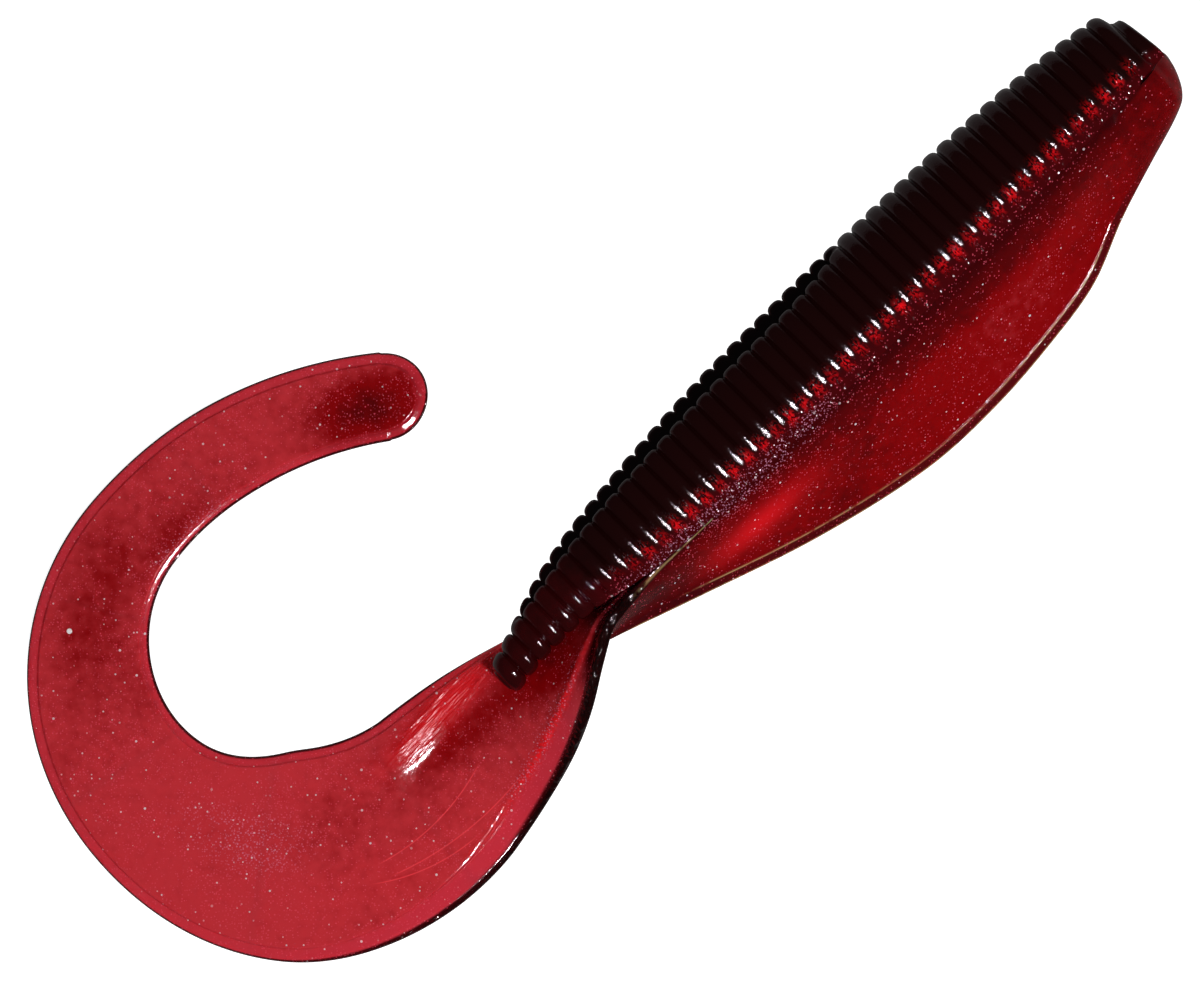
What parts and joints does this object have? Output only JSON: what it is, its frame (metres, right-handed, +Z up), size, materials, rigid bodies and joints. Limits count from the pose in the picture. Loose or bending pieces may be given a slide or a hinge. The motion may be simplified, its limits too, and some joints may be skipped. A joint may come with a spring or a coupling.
{
  "type": "soft plastic worm",
  "caption": "Soft plastic fishing lure with a ribbed dark back, a clear red keeled belly and one long flat tail that curls round, flexing all along its length",
  "frame": {"origin": "under the middle of the bounding box, on the table that the lure lies on", "axes": "+Z up from the table, out of the flank that faces the viewer; +X to the viewer's right, along the longest extent; the nose points to +X +Y and the tail curls round in -X"},
  "size_m": [0.1106, 0.0906, 0.0133],
  "materials": {
    "dark_back": "near-black wine soft vinyl, oily gloss",
    "clear_red": "clear, deep red soft vinyl with fine silver flake, wet gloss"
  },
  "bodies": {
    "head": {"head_back": "dark_back", "head_belly": "clear_red"},
    "front": {"front_back": "dark_back", "front_belly": "clear_red"},
    "middle": {"middle_back": "dark_back", "middle_belly": "clear_red"},
    "rear": {"rear_back": "dark_back", "rear_belly": "clear_red", "tail_root": "clear_red"},
    "tail_1": {"tail_1": "clear_red"},
    "tail_2": {"tail_2": "clear_red"},
    "tail_3": {"tail_3": "clear_red"},
    "tail_4": {"tail_4": "clear_red"},
    "tail_5": {"tail_5": "clear_red"},
    "tail_6": {"tail_6": "clear_red"},
    "tail_7": {"tail_7": "clear_red"}
  },
  "joints": [
    {"name": "front_bend", "type": "hinge", "parent": "head", "child": "front", "pos_m": [0.03867, 0.02847, 0.00653], "axis": [-0.6579, 0.6533, 0.3746], "range_deg": [-15, 15], "stiffness_Nm_per_rad": 0.05},
    {"name": "middle_bend", "type": "hinge", "parent": "front", "child": "middle", "pos_m": [0.02458, 0.01427, 0.00653], "axis": [-0.6579, 0.6533, 0.3746], "range_deg": [-15, 15], "stiffness_Nm_per_rad": 0.05},
    {"name": "rear_bend", "type": "hinge", "parent": "middle", "child": "rear", "pos_m": [0.01119, 0.00079, 0.00653], "axis": [-0.6579, 0.6533, 0.3746], "range_deg": [-15, 15], "stiffness_Nm_per_rad": 0.04},
    {"name": "tail_root_bend", "type": "hinge", "parent": "rear", "child": "tail_1", "pos_m": [-0.00163, -0.01253, 0.00646], "axis": [0.3478, -0.2451, 0.905], "range_deg": [-5, 20], "stiffness_Nm_per_rad": 0.004},
    {"name": "tail_bend_1", "type": "hinge", "parent": "tail_1", "child": "tail_2", "pos_m": [-0.01182, -0.02507, 0.00163], "axis": [0.7274, -0.6831, 0.065], "range_deg": [-20, 20], "stiffness_Nm_per_rad": 0.003},
    {"name": "tail_bend_2", "type": "hinge", "parent": "tail_2", "child": "tail_3", "pos_m": [-0.02474, -0.0344, 0.0011], "axis": [0.2815, -0.9596, 0], "range_deg": [-20, 20], "stiffness_Nm_per_rad": 0.002},
    {"name": "tail_bend_3", "type": "hinge", "parent": "tail_3", "child": "tail_4", "pos_m": [-0.04031, -0.03232, 0.0011], "axis": [-0.5271, -0.8498, 0], "range_deg": [-20, 20], "stiffness_Nm_per_rad": 0.0015},
    {"name": "tail_bend_4", "type": "hinge", "parent": "tail_4", "child": "tail_5", "pos_m": [-0.0491, -0.01929, 0.0011], "axis": [-0.9854, -0.1702, 0], "range_deg": [-20, 20], "stiffness_Nm_per_rad": 0.001},
    {"name": "tail_bend_5", "type": "hinge", "parent": "tail_5", "child": "tail_6", "pos_m": [-0.04519, -0.00408, 0.0011], "axis": [-0.7817, 0.6237, 0], "range_deg": [-20, 20], "stiffness_Nm_per_rad": 0.0008},
    {"name": "tail_bend_6", "type": "hinge", "parent": "tail_6", "child": "tail_7", "pos_m": [-0.03249, 0.00571, 0.0011], "axis": [-0.4182, 0.9084, 0], "range_deg": [-20, 20], "stiffness_Nm_per_rad": 0.0006}
  ]
}
